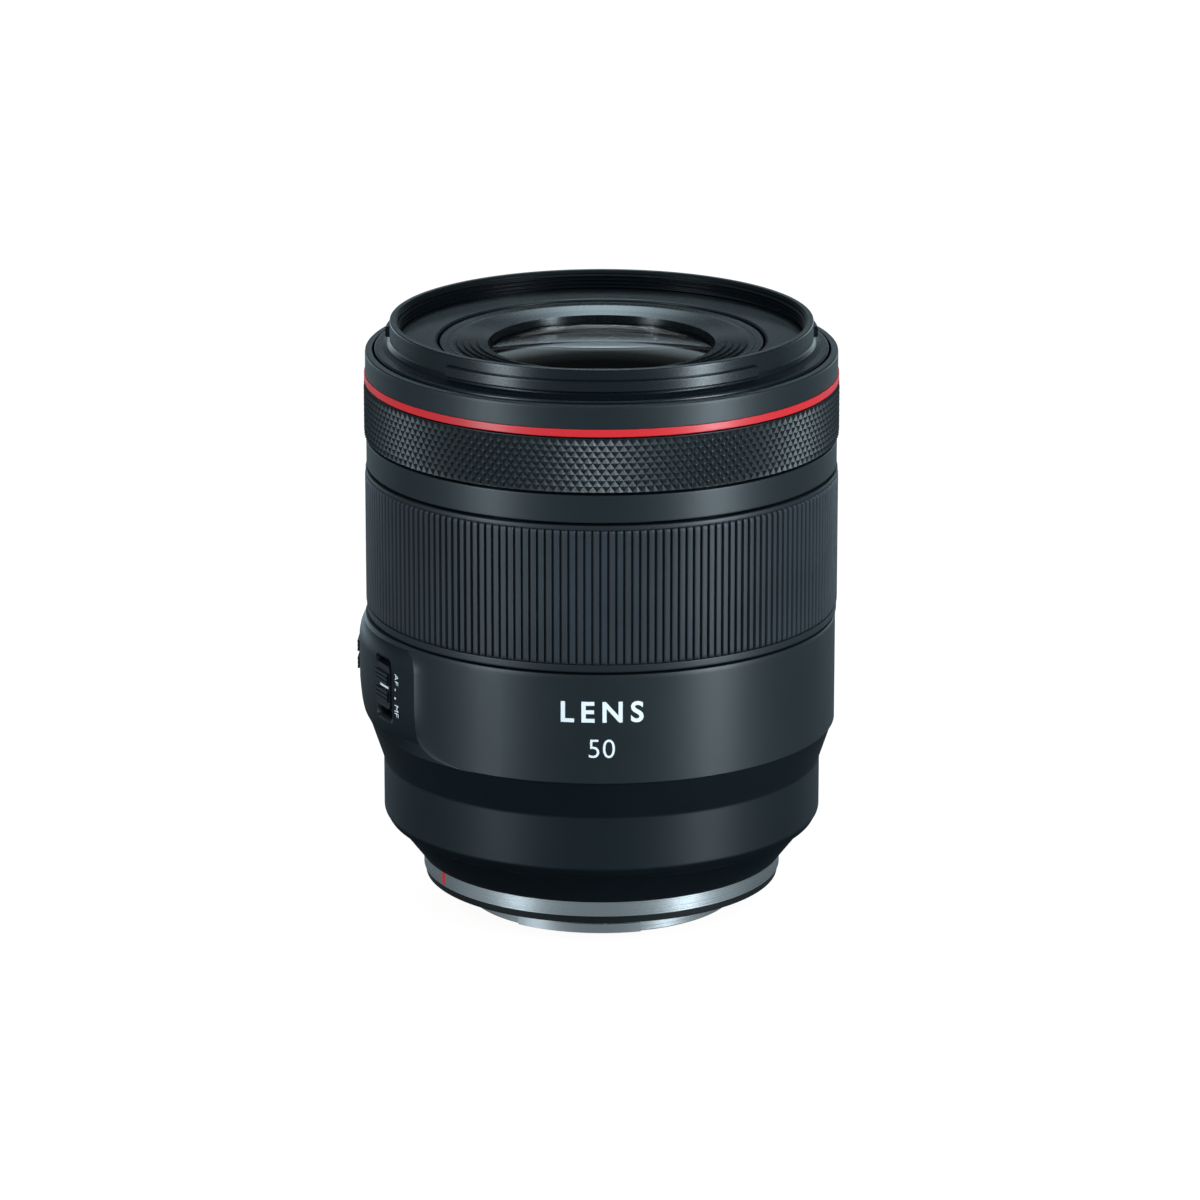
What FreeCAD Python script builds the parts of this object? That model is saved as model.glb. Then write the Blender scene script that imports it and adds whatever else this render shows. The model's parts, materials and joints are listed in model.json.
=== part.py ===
import FreeCAD, Part
import math
import os

# Fast normal prime lens for a mirrorless camera, in millimetres.
# The optical axis is Z. z = 0 is the bayonet's flange face, and +Z points to the front glass.
# Angles are degrees about Z from +X. The side that carries the focal length faces -Y (-90 degrees).

os.makedirs("parts", exist_ok=True)
Vec = FreeCAD.Vector
AXIS = Vec(0, 0, 1)
ORIGIN = Vec(0, 0, 0)

# ---- overall ----
FRONT_Z = 108.0            # front edge of the filter rim above the flange
BARREL_R = 44.6            # plain outer rings
FIT = 0.25                 # radial gap under a turning outer ring

# ---- bayonet end ----
FLANGE_R = 34.25
FLANGE_TOP = 3.4
FACE_R = 33.0              # outer edge of the flat flange face
REGISTER_R = 26.05
REGISTER_IN_R = 25.2
BAYONET_END_Z = -5.6
LUG_R = 26.9
LUG_Z = (-5.4, -3.65)
LUG_COUNT = 3
LUG_SPAN = 52.0
LUG_ANGLE = -100.0
MOUNT_SCREW_R = 30.3
MOUNT_SCREW_COUNT = 4
MOUNT_SCREW_SHANK_R = 0.85
LOCK_SLOT_ANGLE = 10.0
INDEX_ANGLE = -151.6
LEDGE_Z = (0.5, FLANGE_TOP)

# ---- rear barrel and switch panel ----
CONE_EDGE = (40.0, 10.4)
LOWER_R = 41.8
LOWER_Z = (11.3, 22.5)
SEAT_Z = 29.95             # bottom of the body shell, the main barrel and the guide barrel
SEAT_R = 44.4
PANEL_R = 46.35
PANEL_SHIFT = 8.5           # the panel's face is turned about an axis shifted towards it
PANEL_ANGLE = -169.65
PANEL_HALF_WIDTH = 21.7
PANEL_TOP = 50.1
PANEL_CORNER = 4.0
PANEL_WALL_R = 44.05       # inner face of the panel
SLOT_WIDTH = 6.2
SLOT_Z = (35.5, 47.3)
KNOB_HEIGHT = 8.4
SWITCH_TRAVEL = 2.0
MODE_SWITCH_ANGLE = -153.7
LIMIT_SWITCH_ANGLE = 177.0

# ---- outer rings, bottom to top ----
SHELL_TOP = 51.15
SHELL_IN_R = 42.6
FOCUS_RING_Z = (51.6, 79.7)
GRIP_Z = (53.06, 78.8)
GRIP_R = 44.9
MIDDLE_Z = (80.2, 85.45)
CONTROL_Z = (85.95, 96.2)
CONTROL_R = 45.0
RED_Z = (96.55, 97.95)
RED_R = 44.9
SHOULDER_TOP = 102.4
SHOULDER_R = 44.7
RIM_R = 40.0
THREAD_R = 38.5            # major radius of the M77 filter thread
THREAD_END = 104.4         # a relief groove of larger radius follows below
HOOD_LUG_R = 40.9
HOOD_LUG_Z = (103.9, 105.9)
HOOD_LUGS = ((-90.0, 90.0), (30.0, 56.0), (150.0, 56.0))    # middle and span of each

# ---- nested tubes, outside to inside ----
MAIN_R = (40.2, 42.0)
CAM_R = (37.65, 38.9)
GUIDE_R = (36.2, 37.4)
CARRIER_R = (34.4, 35.9)
SHELF_Z = (32.0, 33.3)
STATOR_Z = (34.9, 41.0)
ROTOR_Z = (41.1, 45.0)
CAM_Z = (45.0, 80.0)
GUIDE_TOP = 85.5

# ---- focusing travel ----
FOCUS_TRAVEL = 4.0
CAM_TURN = 90.0
ROLLER_R = 1.5
ROLLER_Z = 55.0
ROLLER_ANGLES = (90.0, 210.0, 330.0)
SLOT_PLAY = 0.1

# ---- iris ----
BLADES = 10
BLADE_PIVOT_R = 28.5
BLADE_BAND = (18.95, 26.0)
BLADE_SPAN = (-6.0, 104.0)
BLADE_THICK = 0.08
BLADE_PITCH = 0.11
FIRST_BLADE_Z = 62.1
PIN_ARM = 4.5
PIN_ARM_ANGLE = 85.0
SMALLEST_APERTURE_R = 1.8
IRIS_TURN = 20.0
PIN_R = 0.45
IRIS_BASE_Z = (61.2, 62.0)
IRIS_RING_Z = (63.5, 64.3)
IRIS_COVER_Z = (64.5, 65.3)

# ---- lens elements: edge radius, then (vertex z, curvature radius) of each surface from the front.
# A positive radius has its centre behind the surface. Surfaces of one group share cement.
GLASS = {
    "glass_group_1": (23.5, [(104.0, 100.0), (99.75, 400.0)]),
    "glass_group_2": (21.5, [(98.6, 70.0), (88.0, -120.0), (85.8, 60.0)]),
    "glass_group_3": (19.9, [(85.0, 45.0), (80.6, 60.0)]),
    "glass_group_4": (19.4, [(79.2, 80.0), (76.2, 300.0), (72.8, 36.0)]),
    "glass_group_5": (17.6, [(56.2, -40.0), (54.2, 90.0), (47.5, -45.0)]),
    "glass_group_6": (18.2, [(46.8, 60.0), (41.0, -120.0)]),
    "glass_group_7": (18.2, [(40.2, 150.0), (36.8, -100.0), (34.6, 80.0)]),
    "glass_group_8": (18.6, [(27.0, -80.0), (24.5, 70.0), (19.0, -100.0)]),
    "glass_group_9": (18.4, [(17.6, -70.0), (14.8, 60.0), (10.2, -200.0)]),
}


# ---------------------------------------------------------------- helpers

def polar(radius, angle, z=0.0):
    turn = math.radians(angle)
    return Vec(radius * math.cos(turn), radius * math.sin(turn), z)


def turned(shape, angle):
    copy = shape.copy()
    copy.rotate(ORIGIN, AXIS, angle)
    return copy


def revolve(points, start=0.0, sweep=360.0):
    """Turn a closed (radius, z) outline about the optical axis."""
    corners = [Vec(r, 0, z) for r, z in points]
    face = Part.Face(Part.makePolygon(corners + corners[:1]))
    return turned(face.revolve(ORIGIN, AXIS, sweep), start)


def ring(radii, z_range, start=0.0, sweep=360.0):
    (r_in, r_out), (low, high) = radii, z_range
    return revolve([(r_in, low), (r_out, low), (r_out, high), (r_in, high)], start, sweep)


def sector(radii, z_range, centre, span):
    return ring(radii, z_range, centre - span / 2, span)


def radial_pin(radius, r_from, r_to, angle, z):
    pin = Part.makeCylinder(radius, r_to - r_from, Vec(r_from, 0, z), Vec(1, 0, 0))
    return turned(pin, angle)


def radial_box(width, z_range, r_from, r_to, angle):
    low, high = z_range
    box = Part.makeBox(r_to - r_from, width, high - low, Vec(r_from, -width / 2, low))
    return turned(box, angle)


def upright_pin(radius, r, angle, z_range):
    low, high = z_range
    return Part.makeCylinder(radius, high - low, polar(r, angle, low))


def fused(shapes):
    return shapes[0].multiFuse(shapes[1:]).removeSplitter()


def softened(shape, corners, size):
    """Round the circular edges that lie at the given (radius, z) corners."""
    def matches(edge):
        if not isinstance(edge.Curve, Part.Circle):
            return False
        for r, z in corners:
            at_radius = abs(edge.Curve.Radius - r) < 1e-3
            if at_radius and abs(edge.Curve.Center.z - z) < 1e-3:
                return True
        return False
    return shape.makeFillet(size, [edge for edge in shape.Edges if matches(edge)])


def save(name, *solids):
    shape = solids[0] if len(solids) == 1 else Part.makeCompound(list(solids))
    shape.exportStep("parts/" + name + ".step")


# ---------------------------------------------------------------- bayonet end

SCREW_SHANK_R = 0.5
SCREW_LENGTH = 6.4
SCREW_HEAD_R = 0.95
SCREW_HEAD = 0.6
REAR_SCREW_R = 23.5
REAR_SCREW_ANGLES = (-150.0, -90.0, -30.0)
COVER_Z = (-4.4, -3.4)
GROUP_SCREW_R = 36.8
BARREL_SCREW_R = 38.95
FLANGE_Z = (28.4, SEAT_Z)       # flange of the rear group's cell
LEDGE_BOTTOM = 26.8


def screw_places():
    """Radius, angle and seat height of each assembly screw; all drive towards +Z."""
    places = [(REAR_SCREW_R, angle, COVER_Z[0]) for angle in REAR_SCREW_ANGLES]
    places += [(GROUP_SCREW_R, angle, FLANGE_Z[0]) for angle in (30.0, 150.0, 270.0)]
    places += [(BARREL_SCREW_R, angle, LEDGE_BOTTOM) for angle in (0.0, 120.0, 240.0)]
    return places


def screw_shanks():
    return [upright_pin(SCREW_SHANK_R, r, angle, (seat, seat + SCREW_LENGTH))
            for r, angle, seat in screw_places()]


def assembly_screws():
    screws = []
    for r, angle, seat in screw_places():
        shank = upright_pin(SCREW_SHANK_R, r, angle, (seat, seat + SCREW_LENGTH))
        head = upright_pin(SCREW_HEAD_R, r, angle, (seat - SCREW_HEAD, seat))
        drive = upright_pin(0.4, r, angle, (seat - SCREW_HEAD, seat - 0.25))
        screws.append(shank.fuse(head).cut(drive))
    return screws


def mount_screw(angle, shrink=0.0):
    """Countersunk screw; shrink sets its head below the flange face."""
    head_r = 1.7
    head_depth = head_r - MOUNT_SCREW_SHANK_R
    place = polar(MOUNT_SCREW_R, angle, shrink)
    head = Part.makeCone(head_r - shrink, MOUNT_SCREW_SHANK_R, head_depth - shrink, place)
    shank = upright_pin(MOUNT_SCREW_SHANK_R, MOUNT_SCREW_R, angle, (head_depth, 5.6))
    return head.fuse(shank)


def mount_screw_angles():
    return [45.0 + 90.0 * k for k in range(MOUNT_SCREW_COUNT)]


def cross_recess(angle):
    recess_z = (0.0, 0.55)
    arms = [Part.makeBox(1.5, 0.35, recess_z[1], Vec(-0.75, -0.175, 0)),
            Part.makeBox(0.35, 1.5, recess_z[1], Vec(-0.175, -0.75, 0))]
    cross = arms[0].fuse(arms[1])
    cross.translate(polar(MOUNT_SCREW_R, angle, 0))
    return cross


def mount_ring():
    outline = [(REGISTER_IN_R, BAYONET_END_Z), (REGISTER_R - 0.2, BAYONET_END_Z),
               (REGISTER_R, BAYONET_END_Z + 0.2), (REGISTER_R, 0), (FACE_R, 0), (FACE_R, 1.6),
               (33.9, 1.6), (33.9, 0.5), (FLANGE_R, 0.5), (FLANGE_R, FLANGE_TOP),
               (REGISTER_IN_R, FLANGE_TOP)]
    parts = [revolve(outline)]
    for k in range(LUG_COUNT):
        centre = LUG_ANGLE + 360.0 / LUG_COUNT * k
        parts.append(sector((REGISTER_R - 0.1, LUG_R), LUG_Z, centre, LUG_SPAN))
    for angle in REAR_SCREW_ANGLES:
        parts.append(sector((22.2, REGISTER_IN_R + 0.1), LEDGE_Z, angle, 14.0))
    body = fused(parts)
    cuts = [mount_screw(angle) for angle in mount_screw_angles()]
    slot_width, slot_depth = 2.2, 2.6
    for side in (-1.8, 1.8):
        cuts.append(upright_pin(slot_width / 2, MOUNT_SCREW_R, LOCK_SLOT_ANGLE + side, (0, slot_depth)))
    middle = sector((MOUNT_SCREW_R - slot_width / 2, MOUNT_SCREW_R + slot_width / 2),
                    (0, slot_depth), LOCK_SLOT_ANGLE, 3.6)
    cuts.append(middle)
    cuts.append(index_mark())
    return body.cut(cuts + screw_shanks()[:3])


def index_mark():
    """Red alignment dash let into the edge of the flange."""
    return sector((FLANGE_R - 0.3, FLANGE_R), (0.9, FLANGE_TOP - 0.3), INDEX_ANGLE, 2.2)


def mount_seal():
    """Rubber lip round the flange that presses on the camera body."""
    return revolve([(FACE_R, 0.05), (FACE_R + 0.55, -1.0), (FACE_R + 0.85, -1.0),
                    (FACE_R + 0.9, 0.2), (FACE_R + 0.9, 1.6), (FACE_R, 1.6)])


def rear_cover():
    tube_r = (18.4, 19.4)
    low, high = COVER_Z
    cover = revolve([(tube_r[0], low), (25.1, low), (25.1, high), (tube_r[1], high),
                     (tube_r[1], 9.6), (tube_r[0], 9.6)])
    pillars = [upright_pin(1.4, REAR_SCREW_R, angle, (high, LEDGE_Z[0]))
               for angle in REAR_SCREW_ANGLES]
    return fused([cover] + pillars).cut(screw_shanks()[:3])


PIN_COUNT = 12
CONTACT_ANGLE = 90.0
CONTACT_PIN_R = 22.6


def contact_pins():
    pitch = 6.0
    first = CONTACT_ANGLE - pitch * (PIN_COUNT - 1) / 2
    return [upright_pin(0.55, CONTACT_PIN_R, first + pitch * k, (BAYONET_END_Z, -4.9))
            for k in range(PIN_COUNT)]


def contact_block():
    block = sector((20.6, 24.6), (-5.4, COVER_Z[0]), CONTACT_ANGLE, 80.0)
    return block.cut(contact_pins())


# ---------------------------------------------------------------- rear barrel and switches

def panel_prism(grow):
    """Upright slab with rounded upper corners that bounds the switch panel."""
    half = PANEL_HALF_WIDTH + grow
    top = PANEL_TOP + grow
    low = LOWER_Z[1]
    slab = Part.makeBox(20.0, 2 * half, top - low, Vec(35.0, -half, low))
    corners = [edge for edge in slab.Edges
               if abs(edge.Vertexes[0].Point.z - top) < 1e-6
               and abs(edge.Vertexes[1].Point.z - top) < 1e-6
               and abs(edge.Vertexes[0].Point.y - edge.Vertexes[1].Point.y) < 1e-6]
    return turned(slab.makeFillet(PANEL_CORNER, corners), PANEL_ANGLE)


def panel_face():
    """Solid inside the panel's face, whose axis lies off the optical axis."""
    profile = [(41.9, LOWER_Z[1] + 0.5), (45.4, 32.0), (45.9, 34.2), (PANEL_R, 38.0),
               (PANEL_R, 47.4), (46.0, 49.0), (45.5, PANEL_TOP)]
    outline = [(radius - PANEL_SHIFT, z) for radius, z in profile]
    core = revolve([(1.0, LOWER_Z[1] + 0.5)] + outline + [(1.0, PANEL_TOP)])
    core.translate(Vec(PANEL_SHIFT, 0, 0))
    return turned(core, PANEL_ANGLE)


def rounded_slab(width, z_range, r_range, angle):
    """Radial slab whose four outward edges are rounded."""
    corner = 0.9
    low, high = z_range
    r_from, r_to = r_range
    slab = Part.makeBox(r_to - r_from, width, high - low, Vec(r_from, -width / 2, low))
    edges = [edge for edge in slab.Edges
             if abs(edge.Vertexes[0].Point.x - edge.Vertexes[1].Point.x) > 1.0]
    return turned(slab.makeFillet(corner, edges), angle)


def switch_slot(angle):
    return rounded_slab(SLOT_WIDTH, SLOT_Z, (42.8, 48.8), angle)


def rear_barrel():
    outline = [(34.6, FLANGE_TOP), CONE_EDGE, (LOWER_R - 0.5, LOWER_Z[0] - 0.5),
               (LOWER_R, LOWER_Z[0]), (LOWER_R, LOWER_Z[1]), (SEAT_R, SEAT_Z), (MAIN_R[0], SEAT_Z),
               (MAIN_R[0], 31.9), (38.3, 31.9), (38.3, FLANGE_Z[0]), (37.8, FLANGE_Z[0]),
               (37.8, LEDGE_BOTTOM), (40.0, LEDGE_BOTTOM), (40.0, 13.5), (38.2, 11.8),
               (33.4, 5.6), (28.2, 5.6), (28.2, FLANGE_TOP)]
    shell = softened(revolve(outline), [(LOWER_R, LOWER_Z[0])], 0.3)
    wall = revolve([(40.6, LOWER_Z[1] + 0.5), (48.0, LOWER_Z[1] + 0.5), (48.0, PANEL_TOP),
                    (PANEL_WALL_R, PANEL_TOP), (PANEL_WALL_R, 36.0), (43.2, SEAT_Z),
                    (40.6, SEAT_Z)], PANEL_ANGLE - 40.0, 80.0)
    panel = wall.common(panel_prism(0.0)).common(panel_face())
    posts = [upright_pin(1.8, BOARD_POST_R, angle, (5.5, BOARD_Z[0])) for angle in BOARD_POSTS]
    body = fused([shell, panel] + posts)
    cuts = [switch_slot(MODE_SWITCH_ANGLE), switch_slot(LIMIT_SWITCH_ANGLE)]
    cuts += [mount_screw(angle) for angle in mount_screw_angles()]
    return body.cut(cuts + screw_shanks()[6:])


def slide_switch(angle, marked):
    """Thumb switch at its upper position: a ridged knob on a plate that covers the slot."""
    side_play = 0.2
    knob_low = SLOT_Z[0] + SWITCH_TRAVEL + 0.1
    knob_z = (knob_low, knob_low + KNOB_HEIGHT)
    plate = radial_box(8.4, (SLOT_Z[0] - 0.6, SLOT_Z[1] + 2.3), 42.8, 43.3, angle)
    knob_width = SLOT_WIDTH - 2 * side_play
    knob = rounded_slab(knob_width, knob_z, (43.2, 45.9), angle)
    parts = [plate, knob]
    middle = (knob_z[0] + knob_z[1]) / 2
    for side in (-1, 1):
        for offset in (0.9, 1.7, 2.5):
            z = middle + side * offset
            parts.append(radial_box(SLOT_WIDTH - 0.8, (z - 0.28, z + 0.28), 45.8, marked, angle))
    return fused(parts)


def switch_contacts():
    """Sliding-contact blocks behind the two switches."""
    return [sector((MAIN_R[1], 42.65), (36.0, 45.5), angle, 8.0)
            for angle in (MODE_SWITCH_ANGLE, LIMIT_SWITCH_ANGLE)]


BOARD_Z = (14.0, 15.2)
BOARD_POST_R = 31.0
BOARD_POSTS = (30.0, 150.0, 270.0)


def main_board():
    """Ring-shaped circuit board with its soldered chips and connectors as separate solids."""
    board = ring((22.6, 37.0), BOARD_Z)
    top = BOARD_Z[1]
    pieces = [board]
    for angle, size in ((-60.0, 9.0), (0.0, 6.0), (75.0, 8.0), (120.0, 5.0), (190.0, 7.0)):
        pieces.append(radial_box(size, (top, top + 1.1), 27.0, 27.0 + size, angle))
    for angle in range(20, 360, 45):
        pieces.append(radial_box(5.5, (top, top + 1.6), 24.0, 25.8, angle))
    return pieces


# ---------------------------------------------------------------- outer rings

def body_shell():
    """Sleeve over the main barrel, cut out round the switch panel."""
    bevel = 0.2
    shell = revolve([(SHELL_IN_R, SEAT_Z), (BARREL_R - bevel, SEAT_Z), (BARREL_R, SEAT_Z + bevel),
                     (BARREL_R, SHELL_TOP - bevel), (BARREL_R - bevel, SHELL_TOP),
                     (MAIN_R[1], SHELL_TOP), (MAIN_R[1], 50.4), (SHELL_IN_R, 50.4)])
    return shell.cut(panel_prism(0.12))


def main_barrel():
    tube = revolve([(MAIN_R[0], SEAT_Z + 1.95), (MAIN_R[0], SEAT_Z), (MAIN_R[1], SEAT_Z),
                    (MAIN_R[1], RED_Z[1]), (MAIN_R[0], RED_Z[1]), (MAIN_R[0], SHELF_Z[1]),
                    (37.6, SHELF_Z[1]), (37.6, SHELF_Z[0]), (MAIN_R[0], SHELF_Z[0])])
    boss = sector((38.0, MAIN_R[0] + 0.1), (CLICK_Z - 2.0, CLICK_Z + 2.0), CLICK_ANGLE, 6.0)
    pocket = radial_pin(BALL_R + 0.05, 38.5, 43.0, CLICK_ANGLE, CLICK_Z)
    return fused([tube, boss]).cut([pocket] + screw_shanks()[6:])


CLICK_Z = 91.0
CLICK_ANGLE = 90.0
CLICK_COUNT = 72
BALL_R = 1.0
BALL_CENTRE_R = 41.3


def control_ring():
    """Turning ring with plain lips, and click notches along its bore."""
    low, high = CONTROL_Z
    bore = MAIN_R[1] + FIT
    lip_r = 44.6
    body = revolve([(bore, low), (lip_r, low), (lip_r, low + 0.3), (CONTROL_R, low + 0.6),
                    (CONTROL_R, high - 0.6), (lip_r, high - 0.3), (lip_r, high), (bore, high)])
    notches = [upright_pin(0.6, bore, CLICK_ANGLE + 360.0 / CLICK_COUNT * k, (87.5, 94.5))
               for k in range(CLICK_COUNT)]
    return body.cut(notches)


def click_ball():
    return Part.makeSphere(BALL_R, polar(BALL_CENTRE_R, CLICK_ANGLE, CLICK_Z))


def click_spring():
    wire_r, coil_r, length = 0.12, 0.7, 1.5
    helix = Part.makeHelix(0.5, length, coil_r)
    profile = Part.Wire(Part.Circle(Vec(coil_r, 0, 0), Vec(0, 1, 0), wire_r).toShape())
    spring = Part.Wire(helix.Edges).makePipeShell([profile], True, True)
    spring.rotate(ORIGIN, Vec(0, 1, 0), 90)
    spring.translate(Vec(38.65, 0, CLICK_Z))
    return turned(spring, CLICK_ANGLE)


FOCUS_SLEEVE_R = 43.5


def focus_ring():
    low, high = FOCUS_RING_Z
    bore = MAIN_R[1] + FIT
    lip_r = BARREL_R + 0.1
    body = revolve([(bore, low), (lip_r, low), (lip_r, GRIP_Z[0]), (FOCUS_SLEEVE_R, GRIP_Z[0]),
                    (FOCUS_SLEEVE_R, GRIP_Z[1]), (lip_r, GRIP_Z[1]), (lip_r, high), (bore, high)])
    return softened(body, [(lip_r, low), (lip_r, high)], 0.25)


def focus_grip():
    grip = ring((FOCUS_SLEEVE_R, GRIP_R), GRIP_Z)
    return softened(grip, [(GRIP_R, GRIP_Z[0]), (GRIP_R, GRIP_Z[1])], 0.3)


def middle_ring():
    body = ring((MAIN_R[1], BARREL_R), MIDDLE_Z)
    return softened(body, [(BARREL_R, MIDDLE_Z[0]), (BARREL_R, MIDDLE_Z[1])], 0.25)


def red_ring():
    body = ring((MAIN_R[1], RED_R), RED_Z)
    return softened(body, [(RED_R, RED_Z[0])], 0.15)


def shoulder_ring():
    low, floor = RED_Z[1], RED_Z[1] + 1.25
    body = revolve([(MAIN_R[0], low), (SHOULDER_R, low), (SHOULDER_R, SHOULDER_TOP),
                    (43.3, SHOULDER_TOP), (43.3, floor), (MAIN_R[0], floor)])
    return softened(body, [(SHOULDER_R, SHOULDER_TOP)], 0.5)


def filter_barrel():
    """Front tube: filter thread inside, hood bayonet outside, flange at its foot."""
    foot = RED_Z[1] + 1.25
    ledge = 102.0
    body = revolve([(38.7, foot), (42.9, foot), (42.9, 102.6), (42.5, 102.85), (41.0, 102.85),
                    (RIM_R, 103.3), (RIM_R, FRONT_Z - 0.2), (RIM_R - 0.2, FRONT_Z),
                    (THREAD_R + 0.4, FRONT_Z), (THREAD_R, FRONT_Z - 0.4), (THREAD_R, THREAD_END),
                    (THREAD_R + 0.7, THREAD_END), (THREAD_R + 0.7, ledge),
                    (36.5, ledge), (36.5, ledge - 1.1), (38.7, ledge - 1.1)])
    lugs = [sector((RIM_R - 0.1, HOOD_LUG_R), HOOD_LUG_Z, middle, span) for middle, span in HOOD_LUGS]
    return fused([body] + lugs)


def front_bezel():
    ledge = 102.0
    return revolve([(31.0, 103.0), (37.3, 103.2), (37.3, ledge), (38.4, ledge), (38.4, 104.4),
                    (31.0, 104.0)])


# ---------------------------------------------------------------- focusing drive

def usm_wave_spring():
    """Wavy washer that presses the stator on the rotor."""
    waves, height, thick = 6, 0.5, 0.3
    middle = SHELF_Z[1] + 0.65
    rails = []
    for radius in (38.2, 39.8):
        points = []
        steps = waves * 8
        for k in range(steps):
            angle = 360.0 * k / steps
            points.append(polar(radius, angle, middle + height * math.sin(math.radians(waves * angle))))
        curve = Part.BSplineCurve()
        curve.interpolate(points, PeriodicFlag=True)
        rails.append(curve.toShape())
    return Part.makeRuledSurface(rails[0], rails[1]).extrude(Vec(0, 0, thick))


def usm_stator():
    body = ring((37.8, 40.0), STATOR_Z)
    teeth = 36
    cuts = [radial_box(0.8, (STATOR_Z[1] - 1.5, STATOR_Z[1] + 0.5), 37.0, 41.0, 360.0 / teeth * k)
            for k in range(teeth)]
    return body.cut(cuts)


def usm_rotor():
    low, high = ROTOR_Z
    return revolve([(CAM_R[0], low + 0.5), (38.2, low), (39.8, low), (39.8, high), (CAM_R[0], high)])


def cam_slot(angle):
    """Helical slot: the roller climbs by the focusing travel while the cam makes its turn."""
    half = ROLLER_R + SLOT_PLAY
    pitch = FOCUS_TRAVEL * 360.0 / CAM_TURN
    mid_r = sum(CAM_R) / 2
    helix = Part.makeHelix(pitch, FOCUS_TRAVEL, mid_r, 0, True)
    slope = math.atan(pitch / (2 * math.pi * mid_r))
    rise = half / math.cos(slope)
    corners = [Vec(CAM_R[0] - 0.6, 0, -rise), Vec(CAM_R[1] + 0.6, 0, -rise),
               Vec(CAM_R[1] + 0.6, 0, rise), Vec(CAM_R[0] - 0.6, 0, rise)]
    band = Part.Wire(helix.Edges).makePipeShell([Part.makePolygon(corners + corners[:1])], True, True)
    first = radial_pin(half, CAM_R[0] - 0.6, CAM_R[1] + 0.6, 0, 0)
    last = radial_pin(half, CAM_R[0] - 0.6, CAM_R[1] + 0.6, -CAM_TURN, FOCUS_TRAVEL)
    shapes = []
    for shape in (band, first, last):
        shape.translate(Vec(0, 0, ROLLER_Z))
        shapes.append(turned(shape, angle))
    return shapes


def cam_barrel():
    body = ring(CAM_R, CAM_Z)
    cuts = []
    for angle in ROLLER_ANGLES:
        cuts += cam_slot(angle)
    return body.cut(cuts)


def cam_retainer():
    return ring((37.6, MAIN_R[0]), (CAM_Z[1] + 0.15, CAM_Z[1] + 1.4))


def guide_barrel():
    """Fixed inner tube whose straight slots keep the focusing carrier from turning."""
    body = revolve([(GUIDE_R[0], SEAT_Z), (GUIDE_R[1], SEAT_Z), (GUIDE_R[1], GUIDE_TOP - 1.5),
                    (MAIN_R[0], GUIDE_TOP - 1.5), (MAIN_R[0], GUIDE_TOP), (GUIDE_R[0], GUIDE_TOP)])
    half = ROLLER_R + SLOT_PLAY
    cuts = screw_shanks()[3:6]
    for angle in ROLLER_ANGLES:
        cuts.append(radial_box(2 * half, (ROLLER_Z, ROLLER_Z + FOCUS_TRAVEL), 35.5, 38.5, angle))
        for z in (ROLLER_Z, ROLLER_Z + FOCUS_TRAVEL):
            cuts.append(radial_pin(half, 35.5, 38.5, angle, z))
    return body.cut(cuts)


def cam_rollers():
    rollers = []
    for angle in ROLLER_ANGLES:
        stud = radial_pin(0.8, CARRIER_R[0], CARRIER_R[1], angle, ROLLER_Z)
        roller = radial_pin(ROLLER_R, CARRIER_R[1], 38.7, angle, ROLLER_Z)
        rollers.append(stud.fuse(roller))
    return rollers


# ---------------------------------------------------------------- focusing group

CELL_SEAT = 86.0
WEB_Z = (60.0, IRIS_BASE_Z[0])
CELL_R = 30.6
REAR_CELL_R = 21.2


def focus_carrier():
    r_in, r_out = CARRIER_R
    low, high = WEB_Z
    body = revolve([(r_in, 44.0), (r_out, 44.0), (r_out, CELL_SEAT), (r_in, CELL_SEAT), (r_in, high),
                    (26.0, high), (26.0, low), (r_in, low)])
    holes = [radial_pin(0.8, 33.0, 37.0, angle, ROLLER_Z) for angle in ROLLER_ANGLES]
    return body.cut(holes)


def front_cell():
    """Stepped cell of the front groups; the elements drop in from the front."""
    tail_r = 24.5
    return revolve([(29.0, 103.7), (29.0, 100.4), (23.5, 100.4), (23.5, 99.0), (22.6, 99.0),
                    (22.6, 93.0), (21.5, 93.0), (21.5, 81.8), (19.9, 81.8), (19.9, 77.2),
                    (19.4, 77.2), (19.4, 67.0), (tail_r, 67.0), (tail_r, CELL_SEAT),
                    (CARRIER_R[1], CELL_SEAT), (CARRIER_R[1], CELL_SEAT + 2.0),
                    (CELL_R, CELL_SEAT + 2.0), (CELL_R, 103.5), (CELL_R - 0.2, 103.7)])


def front_retainer():
    """Threaded ring over the front glass, stepped to stop stray light."""
    step_radii = (28.7, 27.4, 26.1, 24.8, 23.5)
    drop, land_z = 0.04, 103.65
    outline = [(29.0, 100.4), (29.0, land_z)]
    for k, radius in enumerate(step_radii):
        outline.append((radius, land_z - drop * k))
        outline.append((radius - 0.1, land_z - drop * (k + 1)))
    outline += [(21.4, land_z - drop * len(step_radii)), (21.2, 101.95), (21.2, 101.8), (23.6, 101.3),
                (23.6, 100.4)]
    return revolve(outline)


def rear_cell():
    low, high = WEB_Z[0] - 1.4, WEB_Z[0]
    return revolve([(17.6, 51.0), (17.6, 60.6), (REAR_CELL_R, 60.6), (REAR_CELL_R, high),
                    (CARRIER_R[0], high), (CARRIER_R[0], low), (REAR_CELL_R, low),
                    (REAR_CELL_R, 31.0), (18.2, 31.0), (18.2, 51.0)])


def lens_spacers():
    """Rings that keep the elements apart, and the ring that holds the rear stack."""
    front_ring = revolve([(21.6, 93.0), (22.6, 93.0), (22.6, 96.4), (20.9, 96.4), (20.9, 95.45),
                          (21.6, 95.45)])
    return [front_ring, ring((17.0, 18.2), (44.5, 50.7)), ring((17.0, 18.2), (39.35, 42.05)),
            ring((16.6, 18.2), (31.0, 32.4))]


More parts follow.
